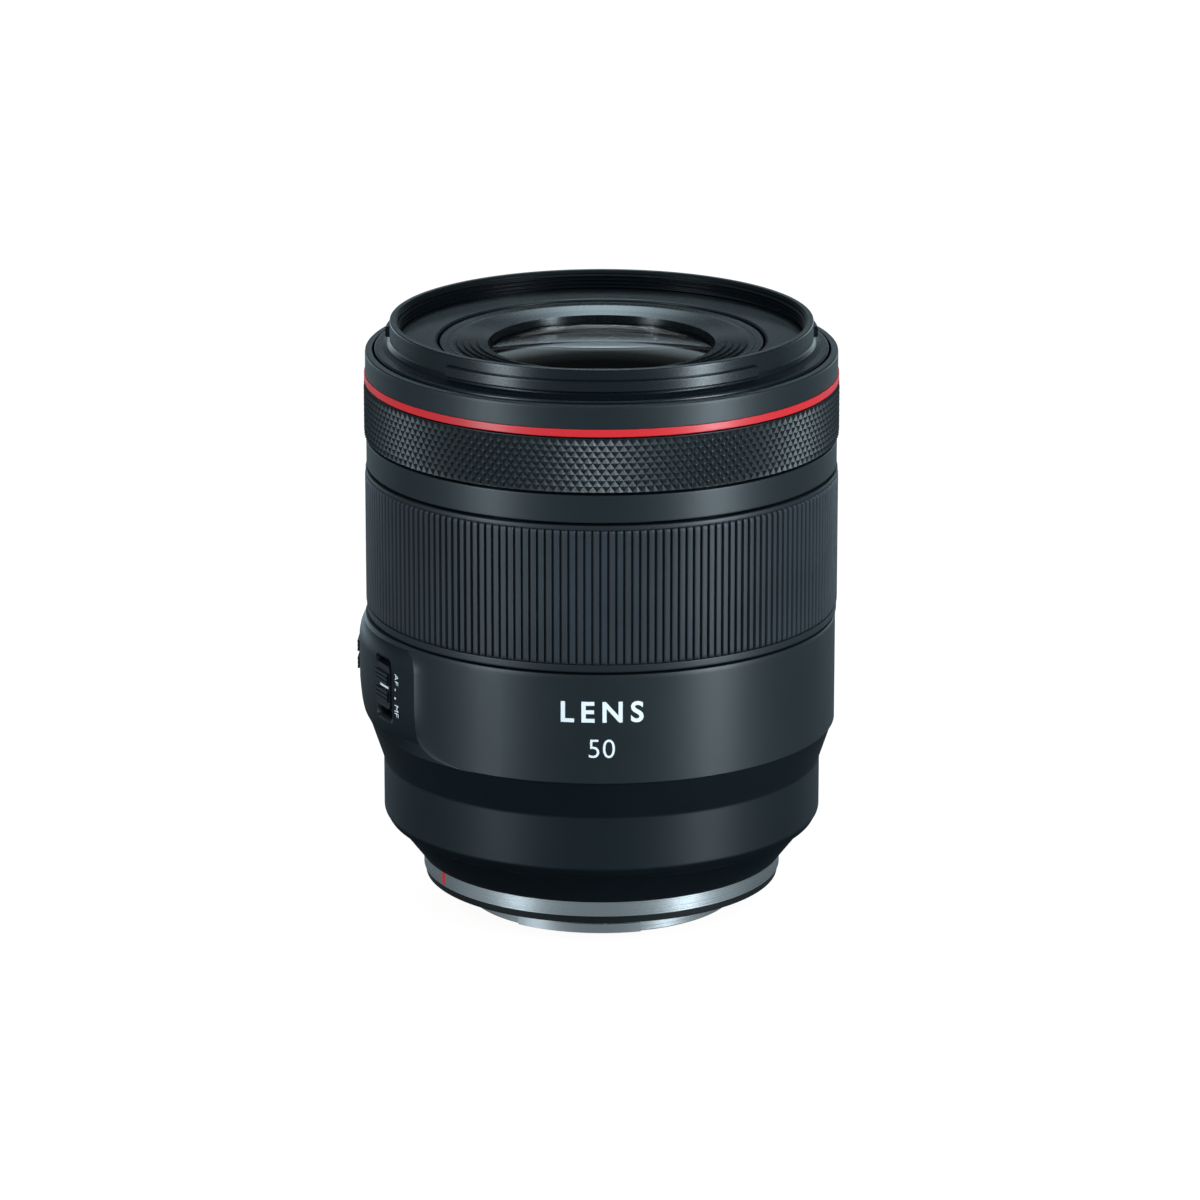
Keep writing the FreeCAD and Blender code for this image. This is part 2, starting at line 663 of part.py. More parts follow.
def rear_group_cell():
    return revolve([(18.6, 20.4), (18.6, SEAT_Z), (38.2, SEAT_Z), (38.2, FLANGE_Z[0]),
                    (21.6, FLANGE_Z[0]), (21.6, 9.8), (16.8, 9.8), (16.8, 10.6), (18.4, 10.6),
                    (18.4, 20.4)]).cut(screw_shanks()[3:6])


def surface_z(surface, radius):
    """Height of a spherical lens surface at a distance from the axis."""
    vertex, curve = surface
    sag = abs(curve) - math.sqrt(curve * curve - radius * radius)
    return vertex - math.copysign(sag, curve)


def surface_arc(surface, radius):
    points = [Vec(r, 0, surface_z(surface, r)) for r in (0.0, radius / 2, radius)]
    return Part.Arc(*points).toShape()


def element(front, rear, radius):
    front_arc = surface_arc(front, radius)
    rear_arc = surface_arc(rear, radius)
    rim = Part.makeLine(Vec(radius, 0, surface_z(front, radius)), Vec(radius, 0, surface_z(rear, radius)))
    core = Part.makeLine(Vec(0, 0, rear[0]), Vec(0, 0, front[0]))
    wire = Part.Wire(Part.__sortEdges__([front_arc, rim, rear_arc, core]))
    return Part.Face(wire).revolve(ORIGIN, AXIS, 360)


def glass_group(name):
    radius, surfaces = GLASS[name]
    return [element(front, rear, radius) for front, rear in zip(surfaces, surfaces[1:])]


# ---------------------------------------------------------------- iris

BLADE_TURN = math.degrees(2 * math.asin((BLADE_BAND[0] - SMALLEST_APERTURE_R) / (2 * BLADE_PIVOT_R)))
PIVOT = Vec(BLADE_PIVOT_R, 0, 0)
TAB_R = 1.25


def drive_pin(blade_turn):
    """Place of a blade's drive pin after the blade has turned about its pivot."""
    return PIVOT + polar(PIN_ARM, PIN_ARM_ANGLE + blade_turn)


def iris_blade(index):
    low = FIRST_BLADE_Z + BLADE_PITCH * index
    high = low + BLADE_THICK
    pin = drive_pin(0.0)
    band = ring(BLADE_BAND, (low, high), BLADE_SPAN[0], BLADE_SPAN[1] - BLADE_SPAN[0])
    corners = [Vec(24.5, -TAB_R, low), Vec(BLADE_PIVOT_R, -TAB_R, low), Vec(pin.x, pin.y + TAB_R, low),
               Vec(24.2, pin.y + TAB_R, low)]
    web = Part.Face(Part.makePolygon(corners + corners[:1])).extrude(Vec(0, 0, BLADE_THICK))
    discs = [Part.makeCylinder(TAB_R, BLADE_THICK, Vec(place.x, place.y, low))
             for place in (PIVOT, pin)]
    pivot_pin = Part.makeCylinder(PIN_R, high - 61.3, Vec(BLADE_PIVOT_R, 0, 61.3))
    driver = Part.makeCylinder(PIN_R, IRIS_RING_Z[1] - low, Vec(pin.x, pin.y, low))
    blade = fused([band, web] + discs + [pivot_pin, driver])
    return turned(blade, 360.0 / BLADES * index)


def drive_slot():
    """Curved slot of the iris ring, traced by a drive pin as ring and blade turn together."""
    half = PIN_R + SLOT_PLAY
    steps = 8
    track = []
    for k in range(-1, steps + 2):
        share = k / steps
        track.append(turned(Part.Vertex(drive_pin(BLADE_TURN * share)), -IRIS_TURN * share).Point)
    left, right = [], []
    for before, here, after in zip(track, track[1:], track[2:]):
        along = (after - before).normalize()
        across = Vec(-along.y, along.x, 0) * half
        left.append(here + across)
        right.append(here - across)
    sides = []
    for points in (left, right):
        curve = Part.BSplineCurve()
        curve.interpolate(points)
        sides.append(curve.toShape())
    ends = [Part.makeLine(left[0], right[0]), Part.makeLine(left[-1], right[-1])]
    face = Part.Face(Part.Wire(Part.__sortEdges__(sides + ends)))
    thick = IRIS_RING_Z[1] - IRIS_RING_Z[0] + 0.4
    low = IRIS_RING_Z[0] - 0.2
    face.translate(Vec(0, 0, low))
    caps = [Part.makeCylinder(half, thick, Vec(place.x, place.y, low)) for place in (track[1], track[-2])]
    return [face.extrude(Vec(0, 0, thick))] + caps


def iris_ring():
    body = ring((25.2, 32.2), IRIS_RING_Z)
    cuts = []
    for k in range(BLADES):
        cuts += [turned(shape, 360.0 / BLADES * k) for shape in drive_slot()]
    return body.cut(cuts)


def iris_base():
    low, high = IRIS_BASE_Z
    body = revolve([(18.7, low), (CARRIER_R[0], low), (CARRIER_R[0], IRIS_COVER_Z[0]),
                    (32.4, IRIS_COVER_Z[0]), (32.4, high), (18.7, high)])
    holes = [upright_pin(PIN_R + 0.05, BLADE_PIVOT_R, 360.0 / BLADES * k, (low - 0.1, high + 0.1))
             for k in range(BLADES)]
    return body.cut(holes)


def iris_cover():
    return ring((18.7, CARRIER_R[0]), IRIS_COVER_Z)


# ---------------------------------------------------------------- all sub-parts

save("filter_barrel", filter_barrel())
save("front_bezel", front_bezel())
save("shoulder_ring", shoulder_ring())
save("red_ring", red_ring())
save("control_ring", control_ring())
save("click_ball", click_ball())
save("click_spring", click_spring())
save("middle_ring", middle_ring())
save("focus_ring", focus_ring())
save("focus_grip", focus_grip())
save("body_shell", body_shell())
save("rear_barrel", rear_barrel())
save("focus_mode_switch", slide_switch(MODE_SWITCH_ANGLE, 46.4))
save("focus_limit_switch", slide_switch(LIMIT_SWITCH_ANGLE, 46.65))
save("switch_contacts", *switch_contacts())
save("main_barrel", main_barrel())
save("guide_barrel", guide_barrel())
save("cam_barrel", cam_barrel())
save("cam_retainer", cam_retainer())
save("cam_rollers", *cam_rollers())
save("usm_stator", usm_stator())
save("usm_rotor", usm_rotor())
save("usm_wave_spring", usm_wave_spring())
save("focus_carrier", focus_carrier())
save("front_cell", front_cell())
save("front_retainer", front_retainer())
save("rear_cell", rear_cell())
save("lens_spacers", *lens_spacers())
save("rear_group_cell", rear_group_cell())
save("mount_ring", mount_ring())
save("mount_seal", mount_seal())
save("mount_index", index_mark())
save("mount_screws", *[mount_screw(angle, 0.05).cut(cross_recess(angle)) for angle in mount_screw_angles()])
save("assembly_screws", *assembly_screws())
save("rear_cover", rear_cover())
save("contact_block", contact_block())
save("contact_pins", *contact_pins())
save("main_board", *main_board())
save("iris_base", iris_base())
save("iris_cover", iris_cover())
save("iris_ring", iris_ring())
for name in GLASS:
    save(name, *glass_group(name))
for number in range(BLADES):
    save("iris_blade_%02d" % (number + 1), iris_blade(number))
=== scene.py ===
import json
import math

import bmesh
import bpy
from mathutils import Matrix, Vector


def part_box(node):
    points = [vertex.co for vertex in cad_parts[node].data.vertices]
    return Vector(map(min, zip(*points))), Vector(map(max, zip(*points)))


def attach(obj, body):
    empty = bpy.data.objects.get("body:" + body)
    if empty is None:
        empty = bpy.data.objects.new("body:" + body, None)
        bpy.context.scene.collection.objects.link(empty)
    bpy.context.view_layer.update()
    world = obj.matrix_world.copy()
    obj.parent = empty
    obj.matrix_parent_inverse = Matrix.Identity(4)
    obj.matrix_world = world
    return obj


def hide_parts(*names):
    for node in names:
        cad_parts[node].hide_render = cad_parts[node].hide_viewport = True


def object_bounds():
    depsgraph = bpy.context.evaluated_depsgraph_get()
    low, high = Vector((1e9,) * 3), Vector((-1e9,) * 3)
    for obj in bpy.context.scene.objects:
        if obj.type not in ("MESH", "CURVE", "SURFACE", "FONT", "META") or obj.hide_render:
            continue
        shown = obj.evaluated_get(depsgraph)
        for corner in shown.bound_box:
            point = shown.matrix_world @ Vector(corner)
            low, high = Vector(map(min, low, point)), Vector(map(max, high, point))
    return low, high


# Looks of a fast normal prime lens. Lengths are in millimetres unless a name says otherwise.
# An outline is a list of (radius, z) corners, with a third number where a corner is rounded.
# Angles are degrees about the optical axis, Z, from +X. The camera looks from -Y.

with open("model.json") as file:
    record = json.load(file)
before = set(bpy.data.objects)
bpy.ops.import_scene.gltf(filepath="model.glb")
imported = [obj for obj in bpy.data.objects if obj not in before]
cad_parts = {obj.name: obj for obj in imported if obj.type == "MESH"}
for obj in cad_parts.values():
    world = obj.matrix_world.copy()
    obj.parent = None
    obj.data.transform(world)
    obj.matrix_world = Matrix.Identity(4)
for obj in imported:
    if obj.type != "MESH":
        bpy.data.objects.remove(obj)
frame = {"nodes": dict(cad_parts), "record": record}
CAD_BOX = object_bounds()

MM = 0.001
TURN = 360.0
COLUMNS = 360                 # facets round a turned piece
FRONT_ANGLE = -90.0           # the side that carries the focal length
PANEL_ANGLE = -169.65         # middle of the switch panel
MODE_ANGLE = -153.7           # focus mode switch
LIMIT_ANGLE = 177.0           # focus limit switch


def node_z(node):
    """Lowest and highest z of a CAD node, in millimetres."""
    low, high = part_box(node)
    return low.z / MM, high.z / MM


def node_r(node):
    """Outer radius of a round CAD node, in millimetres."""
    low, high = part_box(node)
    return max(high.x, -low.x) / MM


# ---------------------------------------------------------------- materials

def material(name, color, roughness, metallic=0.0, specular=0.5):
    """Material with its node tree and its principled shader."""
    made = bpy.data.materials.new(name)
    made.use_nodes = True
    shader = made.node_tree.nodes["Principled BSDF"]
    shader.inputs["Base Color"].default_value = (*color, 1.0)
    shader.inputs["Roughness"].default_value = roughness
    shader.inputs["Metallic"].default_value = metallic
    shader.inputs["Specular IOR Level"].default_value = specular
    return made, made.node_tree, shader


def texture_place(tree, stretch=(1.0, 1.0, 1.0)):
    """Object coordinates, stretched."""
    source = tree.nodes.new("ShaderNodeTexCoord")
    mapping = tree.nodes.new("ShaderNodeMapping")
    mapping.inputs["Scale"].default_value = stretch
    tree.links.new(source.outputs["Object"], mapping.inputs["Vector"])
    return mapping.outputs["Vector"]


def noise(tree, place, scale, detail=3.0, roughness=0.55):
    """Grey noise value at a place in texture space."""
    node = tree.nodes.new("ShaderNodeTexNoise")
    node.inputs["Scale"].default_value = scale
    node.inputs["Detail"].default_value = detail
    node.inputs["Roughness"].default_value = roughness
    tree.links.new(place, node.inputs["Vector"])
    return node.outputs["Fac"]


def spread(tree, value, low, high):
    """Map a 0.3-0.7 noise value onto a low-high range."""
    node = tree.nodes.new("ShaderNodeMapRange")
    node.inputs["From Min"].default_value = 0.3
    node.inputs["From Max"].default_value = 0.7
    node.inputs["To Min"].default_value = low
    node.inputs["To Max"].default_value = high
    tree.links.new(value, node.inputs["Value"])
    return node.outputs["Result"]


def tint(tree, value, dark, light, shader):
    """Base colour that drifts between two colours."""
    ramp = tree.nodes.new("ShaderNodeValToRGB")
    ramp.color_ramp.elements[0].position = 0.3
    ramp.color_ramp.elements[1].position = 0.7
    ramp.color_ramp.elements[0].color = (*dark, 1.0)
    ramp.color_ramp.elements[1].color = (*light, 1.0)
    tree.links.new(value, ramp.inputs["Fac"])
    tree.links.new(ramp.outputs["Color"], shader.inputs["Base Color"])


def bump(tree, value, strength, depth, shader):
    """Relief from a grey value; its depth is in metres."""
    node = tree.nodes.new("ShaderNodeBump")
    node.inputs["Strength"].default_value = strength
    node.inputs["Distance"].default_value = depth
    tree.links.new(value, node.inputs["Height"])
    tree.links.new(node.outputs["Normal"], shader.inputs["Normal"])


def uneven_gloss(tree, value, roughness, shader):
    """Roughness that wanders a little about its mean."""
    wander = spread(tree, value, roughness - 0.04, roughness + 0.05)
    tree.links.new(wander, shader.inputs["Roughness"])


def grained(name, color, roughness, grain=5200.0, depth=0.00002, specular=0.5, metallic=0.0,
            vary=0.12):
    """Satin or matte finish with fine grain, patchy gloss and slight colour drift."""
    made, tree, shader = material(name, color, roughness, metallic, specular)
    place = texture_place(tree)
    drift = noise(tree, place, 60.0, 2.0)
    fine = noise(tree, place, grain, 2.0)
    dark = tuple(channel * (1.0 - vary) for channel in color)
    light = tuple(channel * (1.0 + vary) for channel in color)
    tint(tree, drift, dark, light, shader)
    uneven_gloss(tree, fine, roughness, shader)
    bump(tree, fine, 0.35, depth, shader)
    return made


def turned_metal(name, color, roughness):
    """Metal with lathe marks that run round the optical axis."""
    made, tree, shader = material(name, color, roughness, 1.0)
    place = texture_place(tree)
    split = tree.nodes.new("ShaderNodeSeparateXYZ")
    tree.links.new(place, split.inputs["Vector"])
    flat = tree.nodes.new("ShaderNodeCombineXYZ")
    tree.links.new(split.outputs["X"], flat.inputs["X"])
    tree.links.new(split.outputs["Y"], flat.inputs["Y"])
    radius = tree.nodes.new("ShaderNodeVectorMath")
    radius.operation = "LENGTH"
    tree.links.new(flat.outputs["Vector"], radius.inputs[0])
    rings = tree.nodes.new("ShaderNodeCombineXYZ")
    tree.links.new(radius.outputs["Value"], rings.inputs["X"])
    tree.links.new(split.outputs["Z"], rings.inputs["Z"])
    marks = noise(tree, rings.outputs["Vector"], 9000.0, 3.0)
    uneven_gloss(tree, marks, roughness, shader)
    dark = tuple(channel * 0.93 for channel in color)
    tint(tree, marks, dark, color, shader)
    bump(tree, marks, 0.15, 0.000004, shader)
    return made


def coated_glass(name, film_nm, film_ior, ior, tone):
    """Optical glass with an interference film and faint uneven polish."""
    made, tree, shader = material(name, tone, 0.0)
    shader.inputs["IOR"].default_value = ior
    shader.inputs["Transmission Weight"].default_value = 1.0
    shader.inputs["Thin Film Thickness"].default_value = film_nm
    shader.inputs["Thin Film IOR"].default_value = film_ior
    place = texture_place(tree)
    haze = noise(tree, place, 250.0, 2.0)
    tree.links.new(spread(tree, haze, 0.0, 0.012), shader.inputs["Roughness"])
    return made


GRAINED = {
    "satin_black": dict(color=(0.0070, 0.0115, 0.0140), roughness=0.40),
    "baffle_black": dict(color=(0.0022, 0.0034, 0.0046), roughness=0.34, depth=0.000005,
                         specular=0.3),
    "rim_black": dict(color=(0.0026, 0.0052, 0.0070), roughness=0.29, depth=0.000008),
    "focus_metal": dict(color=(0.0072, 0.0115, 0.0140), roughness=0.42),
    "knurled_ring": dict(color=(0.0095, 0.0135, 0.0160), roughness=0.42),
    "matte_black_plastic": dict(color=(0.0040, 0.0060, 0.0072), roughness=0.30, depth=0.000004,
                                specular=0.4),
    "grip_rubber": dict(color=(0.0250, 0.0300, 0.0360), roughness=0.46, grain=4000.0,
                        depth=0.00003, specular=0.33),
    "rear_black": dict(color=(0.0036, 0.0070, 0.0095), roughness=0.42, specular=0.37),
    "switch_plastic": dict(color=(0.006, 0.008, 0.010), roughness=0.45),
    "molded_plastic": dict(color=(0.010, 0.011, 0.012), roughness=0.5),
    "inner_black_metal": dict(color=(0.0035, 0.0050, 0.0060), roughness=0.24, depth=0.000003,
                              specular=0.45),
    "black_steel": dict(color=(0.03, 0.03, 0.032), roughness=0.35, metallic=0.6),
    "blade_steel": dict(color=(0.02, 0.02, 0.022), roughness=0.5),
    "seal_rubber": dict(color=(0.004, 0.005, 0.006), roughness=0.55, specular=0.3),
    "red_band": dict(color=(0.63, 0.020, 0.026), roughness=0.32, vary=0.04),
    "red_paint": dict(color=(0.60, 0.02, 0.03), roughness=0.4, vary=0.05),
    "white_print": dict(color=(0.80, 0.82, 0.83), roughness=0.5, vary=0.03),
    "circuit_board": dict(color=(0.01, 0.08, 0.035), roughness=0.35),
}
TURNED_METALS = {
    "mount_metal": dict(color=(0.72, 0.72, 0.72), roughness=0.29),
    "cam_metal": dict(color=(0.45, 0.45, 0.46), roughness=0.3),
    "steel": dict(color=(0.5, 0.5, 0.5), roughness=0.25),
    "brass": dict(color=(0.6, 0.42, 0.16), roughness=0.3),
    "gold_contacts": dict(color=(0.85, 0.6, 0.22), roughness=0.18),
}
GLASSES = {
    "coated_glass": dict(film_nm=110.0, film_ior=1.38, ior=1.5, tone=(0.80, 0.86, 0.84)),
    "front_glass": dict(film_nm=95.0, film_ior=1.46, ior=1.6, tone=(0.97, 0.96, 0.98)),
    "second_glass": dict(film_nm=100.0, film_ior=1.38, ior=1.6, tone=(0.90, 0.97, 0.94)),
}


def make_materials():
    """Every look by name; most names are the record's material slots."""
    looks = {}
    for maker, table in ((grained, GRAINED), (turned_metal, TURNED_METALS),
                         (coated_glass, GLASSES)):
        for name, values in table.items():
            looks[name] = maker(name, **values)
    return looks


# ---------------------------------------------------------------- mesh helpers

def place_in_scene(name, data):
    """New object in the scene for a mesh, curve, light or camera."""
    made = bpy.data.objects.new(name, data)
    bpy.context.scene.collection.objects.link(made)
    return made


def add_piece(name, verts, faces, look, smooth_angle=32.0):
    """Mesh object from millimetre points, smooth but for edges sharper than the given angle."""
    mesh = bpy.data.meshes.new(name)
    mesh.from_pydata([(x * MM, y * MM, z * MM) for x, y, z in verts], [], faces)
    mesh.validate()
    tidy = bmesh.new()
    tidy.from_mesh(mesh)
    bmesh.ops.recalc_face_normals(tidy, faces=tidy.faces)
    tidy.to_mesh(mesh)
    tidy.free()
    mesh.shade_smooth()
    mesh.set_sharp_from_angle(angle=math.radians(smooth_angle))
    mesh.materials.append(look)
    return place_in_scene(name, mesh)


def install(piece, body, replaced=None):
    """Fix a piece to its body, in place of a CAD node where one is named."""
    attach(piece, body)
    if replaced:
        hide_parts(replaced)
    return piece


def at(radius, angle, z):
    """Point at a radius and an angle about the optical axis."""
    turn = math.radians(angle)
    return (radius * math.cos(turn), radius * math.sin(turn), z)


def ring_faces(loops, columns):
    """Faces of a closed tube section: loops of points joined in turn, the last to the first."""
    faces = []
    for row in range(loops):
        a = row * columns
        b = ((row + 1) % loops) * columns
        for k in range(columns):
            n = (k + 1) % columns
            faces.append((a + k, a + n, b + n, b + k))
    return faces


def softened(outline, steps=3):
    """Round each (r, z, radius) corner of a closed outline with an arc; plain pairs stay sharp.

    A guard point beyond each end of an arc keeps the long faces flat under smooth shading.
    """
    result = []
    guard = 0.12
    longest_share = 0.49      # of a side's length, that one rounded corner may use up
    count = len(outline)
    for index, corner in enumerate(outline):
        here = Vector(corner[:2])
        radius = corner[2] if len(corner) > 2 else 0.0
        if radius == 0.0:
            result.append(tuple(here))
            continue
        before = Vector(outline[index - 1][:2]) - here
        after = Vector(outline[(index + 1) % count][:2]) - here
        opening = before.angle(after)
        reach = radius / math.tan(opening / 2)
        reach = min(reach, before.length * longest_share, after.length * longest_share)
        start = here + before.normalized() * reach
        end = here + after.normalized() * reach
        if before.length > 2.5 * (reach + guard):
            result.append(tuple(start + before.normalized() * guard))
        for step in range(steps + 1):
            t = step / steps
            blended = start.lerp(here, t).lerp(here.lerp(end, t), t)
            result.append(tuple(blended))
        if after.length > 2.5 * (reach + guard):
            result.append(tuple(end + after.normalized() * guard))
    return result


def lathe(name, outline, look, columns=COLUMNS, start=0.0, sweep=TURN):
    """Turn a closed outline about the optical axis; a part turn gets end caps."""
    points = softened(outline)
    whole = sweep == TURN
    stations = columns if whole else columns + 1
    verts = []
    for k in range(stations):
        angle = start + sweep * k / columns
        verts += [at(r, angle, z) for r, z in points]
    size = len(points)
    faces = []
    for k in range(columns):
        a = k * size
        b = ((k + 1) % stations) * size
        for j in range(size):
            n = (j + 1) % size
            faces.append((a + j, b + j, b + n, a + n))
    if not whole:
        faces.append(tuple(range(size)))
        last = columns * size
        faces.append(tuple(last + j for j in reversed(range(size))))
    return add_piece(name, verts, faces, look)


def turned_skin(node, outline, look, body):
    """Turned piece that stands in for a CAD node."""
    return install(lathe(node + "_skin", outline, look), body, node)


# ---------------------------------------------------------------- front

def paint_inside(piece, look, limit):
    """Second finish on every face that lies inside a radius, in millimetres."""
    piece.data.materials.append(look)
    for face in piece.data.polygons:
        if math.hypot(face.center.x, face.center.y) < limit * MM:
            face.material_index = 1


HOOD_LUGS = ((FRONT_ANGLE, 90.0), (30.0, 56.0), (150.0, 56.0))    # middle and span of each


def filter_barrel(looks):
    """Rim with a concave foot outside; inside, a plain wall that carries the thread."""
    top = node_z("filter_barrel")[1]
    outline = [(38.7, 99.2), (42.9, 99.2), (42.9, 102.7, 0.35), (41.4, 102.95, 0.2),
               (40.45, 103.35, 0.5), (40.0, 104.3, 0.6), (40.0, top, 0.35), (38.95, top, 0.12),
               (38.5, top - 0.45), (38.5, 104.4), (39.2, 104.4), (39.2, 102.0), (36.5, 102.0),
               (36.5, 100.9), (38.7, 100.9)]
    rim = turned_skin("filter_barrel", outline, looks["rim_black"], "barrel")
    paint_inside(rim, looks["baffle_black"], 38.9)
    lug = [(39.9, 103.9), (40.75, 103.9, 0.1), (40.9, 104.1, 0.1), (40.9, 105.9, 0.25),
           (39.9, 106.0)]
    for number, (middle, span) in enumerate(HOOD_LUGS, start=1):
        piece = lathe("hood_lug_%d" % number, lug, looks["rim_black"], 90, middle - span / 2, span)
        install(piece, "barrel")


def filter_thread(looks):
    """Helical ridge of the filter thread, with run-out at both ends."""
    pitch, turns, wall, tip = 0.75, 3.6, 38.52, 38.12
    foot, crest = 0.32, 0.05      # half widths of the ridge at the wall and at its tip
    run_out_rate = 12.0           # full height after a twelfth of the length
    start_z = 104.55
    steps = int(turns * 180)
    verts, faces = [], []
    for k in range(steps + 1):
        share = k / steps
        angle = TURN * turns * share
        z = start_z + pitch * turns * share
        fade = min(1.0, share * run_out_rate, (1.0 - share) * run_out_rate)
        height = (wall - tip) * fade
        verts += [at(wall, angle, z - foot), at(wall - height, angle, z - crest),
                  at(wall - height, angle, z + crest), at(wall, angle, z + foot)]
    for k in range(steps):
        a, b = k * 4, (k + 1) * 4
        for j in range(4):
            n = (j + 1) % 4
            faces.append((a + j, b + j, b + n, a + n))
    piece = add_piece("filter_thread", verts, faces, looks["baffle_black"])
    install(piece, "barrel")


def front_rings(looks):
    """Bezel, shoulder ring, red ring and the plain ring below the knurl."""
    bezel = [(31.0, 103.0), (37.3, 103.2), (37.3, 102.0), (38.4, 102.0), (38.4, 104.4, 0.1),
             (36.9, 104.42, 0.3), (31.4, 104.05, 0.3), (31.0, 103.8, 0.1)]
    turned_skin("front_bezel", bezel, looks["matte_black_plastic"], "barrel")
    low, high = node_z("shoulder_ring")
    radius = node_r("shoulder_ring")
    shoulder = [(40.2, low), (radius, low, 0.1), (radius, high, 0.55), (43.3, high, 0.2),
                (43.3, 99.2), (40.2, 99.2)]
    turned_skin("shoulder_ring", shoulder, looks["satin_black"], "barrel")
    low, high = node_z("red_ring")
    radius = node_r("red_ring")
    red = [(42.0, low), (radius, low, 0.12), (radius, high, 0.06), (42.0, high)]
    turned_skin("red_ring", red, looks["red_band"], "barrel")
    low, high = node_z("middle_ring")
    radius = node_r("middle_ring")
    middle = [(42.0, low), (radius, low, 0.2), (radius, high, 0.25), (42.0, high)]
    turned_skin("middle_ring", middle, looks["satin_black"], "barrel")


def front_funnel(looks):
    """Front cell and its stepped retaining ring."""
    cell = [(29.0, 103.6, 0.08), (29.0, 100.4), (23.5, 100.4), (23.5, 99.0), (22.6, 99.0),
            (22.6, 93.0), (21.5, 93.0), (21.5, 81.8), (19.9, 81.8), (19.9, 77.2), (19.4, 77.2),
            (19.4, 67.0), (24.5, 67.0), (24.5, 86.0), (35.9, 86.0), (35.9, 88.0), (30.6, 88.0),
            (30.6, 103.7, 0.25)]
    turned_skin("front_cell", cell, looks["inner_black_metal"], "focus_group")
    outline = [(29.0, 100.4), (29.0, 103.66)]
    step_top, pitch, drop = 103.72, 1.3, 0.30
    for number in range(4):
        radius = 28.75 - pitch * number
        outline += [(radius, step_top), (radius - pitch + 0.08, step_top - drop)]
    outline += [(23.5, step_top), (21.45, 103.26, 0.05), (21.2, 101.95), (21.2, 101.8),
                (23.6, 101.3), (23.6, 100.4)]
    turned_skin("front_retainer", outline, looks["inner_black_metal"], "focus_group")


def sphere_z(vertex, bend, radius):
    """Height of a spherical surface at a radius; a negative bend is hollow towards the front."""
    sag = abs(bend) - math.sqrt(bend * bend - radius * radius)
    return vertex - math.copysign(sag, bend)


def element(name, front, rear, radius, look):
    """Glass element between two spherical surfaces, each a (vertex, bend) pair."""
    steps = 40
    pole = 0.01               # the outline stops just short of the axis
    rings = [pole] + [radius * k / steps for k in range(1, steps + 1)]
    outline = [(r, sphere_z(*front, r)) for r in rings]
    outline += [(r, sphere_z(*rear, r)) for r in reversed(rings)]
    return lathe(name, outline, look, 180)


def front_glass(looks):
    """The first two glass groups, with many steps across the curves that mirror the studio."""
    first = element("glass_group_1_skin", (104.0, 100.0), (99.75, 400.0), 23.5,
                    looks["front_glass"])
    install(first, "focus_group", "glass_group_1")
    second = element("glass_group_2_skin", (98.6, 70.0), (85.8, 60.0), 21.5, looks["second_glass"])
    install(second, "focus_group", "glass_group_2")


# ---------------------------------------------------------------- knurl and ribs

def control_ring(looks):
    """Diamond knurl: pyramids with blunt tips on a lattice, closed to a thin sleeve."""
    low, high = node_z("control_ring")
    crest = node_r("control_ring")
    groove = crest - 0.37
    sleeve = 43.8
    teeth, rows = 174, 9      # diamonds round the ring, and rows of lattice cells
    rise = 1.1                # height of a row
    blunt = 0.19              # half width of a tip's flat, in lattice cells
    columns = teeth * 2
    middle = (low + high) / 2
    base = middle - rise * rows / 2
    verts, faces = [], []

    def spot(column, row, radius):
        verts.append(at(radius, TURN * column / columns, base + rise * row))
        return len(verts) - 1

    pits = {}
    for row in range(rows + 1):
        for column in range(columns):
            if (row + column) % 2 == 0:
                pits[column, row] = spot(column, row, groove)
    rims = {0: {}, rows: {}}
    for row in range(rows + 1):
        for column in range(columns):
            if (row + column) % 2 == 0:
                if row in rims:
                    rims[row][column] = pits[column, row]
                continue
            around = [(column + 1, row), (column, row + 1), (column - 1, row), (column, row - 1)]
            if row in rims:
                tip = spot(column, row, crest)
                rims[row][column] = tip
                for first, second in zip(around, around[1:] + around[:1]):
                    inside = 0 <= first[1] <= rows and 0 <= second[1] <= rows
                    if inside:
                        faces.append((tip, pits[first[0] % columns, first[1]],
                                      pits[second[0] % columns, second[1]]))
                continue
            tips = [spot(column + blunt, row, crest), spot(column, row + blunt, crest),
                    spot(column - blunt, row, crest), spot(column, row - blunt, crest)]
            faces.append(tuple(tips))
            for j in range(4):
                n = (j + 1) % 4
                first, second = around[j], around[n]
                faces.append((tips[j], pits[first[0] % columns, first[1]],
                              pits[second[0] % columns, second[1]], tips[n]))
    inner = {row: [spot(column, row, sleeve) for column in range(columns)] for row in rims}
    for row in rims:
        for column in range(columns):
            after = (column + 1) % columns
            faces.append((rims[row][column], rims[row][after],
                          inner[row][after], inner[row][column]))
    for column in range(columns):
        after = (column + 1) % columns
        faces.append((inner[0][column], inner[0][after], inner[rows][after], inner[rows][column]))
    knurl = add_piece("control_ring_knurl", verts, faces, looks["knurled_ring"], 12.0)
    install(knurl, "control_ring")
    lip = crest - 0.35
    edge = (high - low - rise * rows) / 2
    tube = [(42.25, low), (lip, low, 0.08), (lip, low + edge, 0.05), (sleeve, low + edge),
            (sleeve, high - edge), (lip, high - edge, 0.05), (lip, high, 0.08), (42.25, high)]
    core = lathe("control_ring_sleeve", tube, looks["knurled_ring"])
    install(core, "control_ring", "control_ring")


